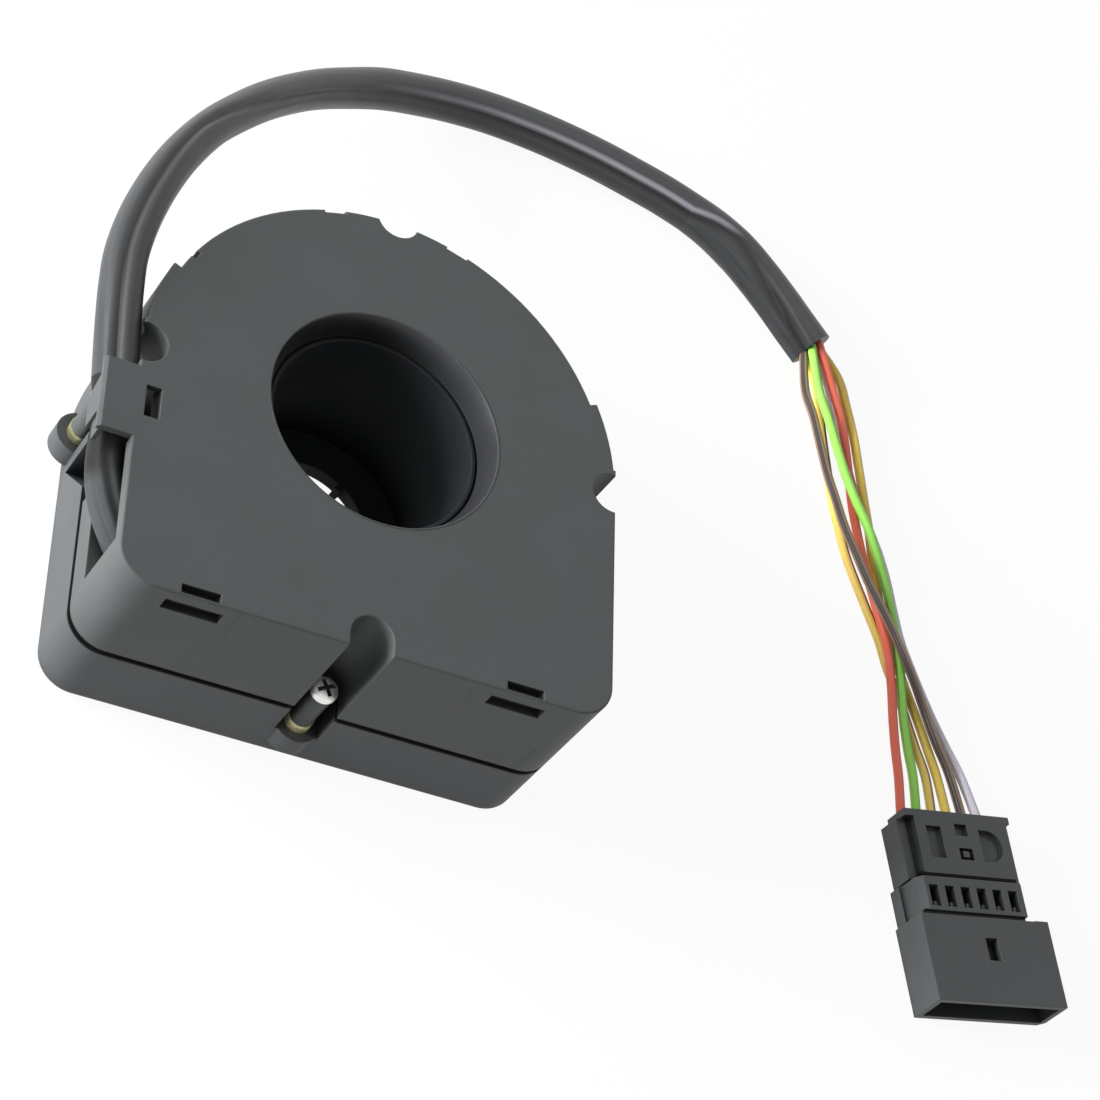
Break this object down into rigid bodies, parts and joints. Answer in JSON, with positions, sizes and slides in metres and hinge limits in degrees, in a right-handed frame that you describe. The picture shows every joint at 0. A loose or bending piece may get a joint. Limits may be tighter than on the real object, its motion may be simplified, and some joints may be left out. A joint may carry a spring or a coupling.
{
  "type": "steering angle sensor",
  "caption": "Steering angle sensor: a D-shaped plastic housing round a turning rotor, with a jacketed cable that ends in separate wires and a flat connector.",
  "frame": {"origin": "on the rotor axis, in the plane of the housing's back face", "axes": "+X points away from the side with the cable clip, +Y towards the round top of the housing, +Z out of the front face along the rotor axis"},
  "size_m": [0.1479, 0.1254, 0.029],
  "materials": {
    "housing_plastic": "fine matte moulded surface",
    "rotor_plastic": "smooth and slightly glossy",
    "disc_plastic": "plain matte",
    "screw_steel": "bright plated steel",
    "insert_brass": "pale plated brass",
    "contact_metal": "plated spring contact metal",
    "board": "solder-masked circuit board",
    "chip_plastic": "moulded chip package",
    "capacitor": "small ceramic chips",
    "carrier_plastic": "plain matte",
    "jacket": "satin black cable jacket",
    "wire_red": "smooth wire insulation",
    "wire_green": "smooth wire insulation",
    "wire_yellow": "smooth wire insulation with a dark stripe",
    "wire_brown": "smooth wire insulation",
    "wire_violet": "pale wire insulation with a violet stripe"
  },
  "bodies": {
    "housing": {"base_housing": "housing_plastic", "front_cover": "housing_plastic", "housing_screws": "screw_steel", "threaded_inserts": "insert_brass", "main_board": "board", "track_board": "board", "microcontroller": "chip_plastic", "bus_transceiver": "chip_plastic", "voltage_regulator": "chip_plastic", "crystal": "screw_steel", "chip_capacitors": "capacitor", "board_link_pins": "contact_metal", "wire_header": "disc_plastic", "cable_inner_run": "jacket", "cable_jacket": "jacket", "end_sleeve": "jacket", "wire_red": "wire_red", "wire_green": "wire_green", "wire_yellow_black": "wire_yellow", "wire_yellow_brown": "wire_yellow", "wire_brown": "wire_brown", "wire_white_violet": "wire_violet", "connector_housing": "housing_plastic", "contact_carrier": "carrier_plastic", "contacts": "contact_metal", "connector_rear_cover": "housing_plastic"},
    "rotor": {"rotor_hub": "rotor_plastic", "rotor_disc": "disc_plastic", "wiper_a": "contact_metal", "wiper_b": "contact_metal"}
  },
  "joints": [
    {"name": "rotor_spin", "type": "hinge", "parent": "housing", "child": "rotor", "pos_m": [0, 0, 0], "axis": [0, 0, 1], "continuous": true}
  ]
}
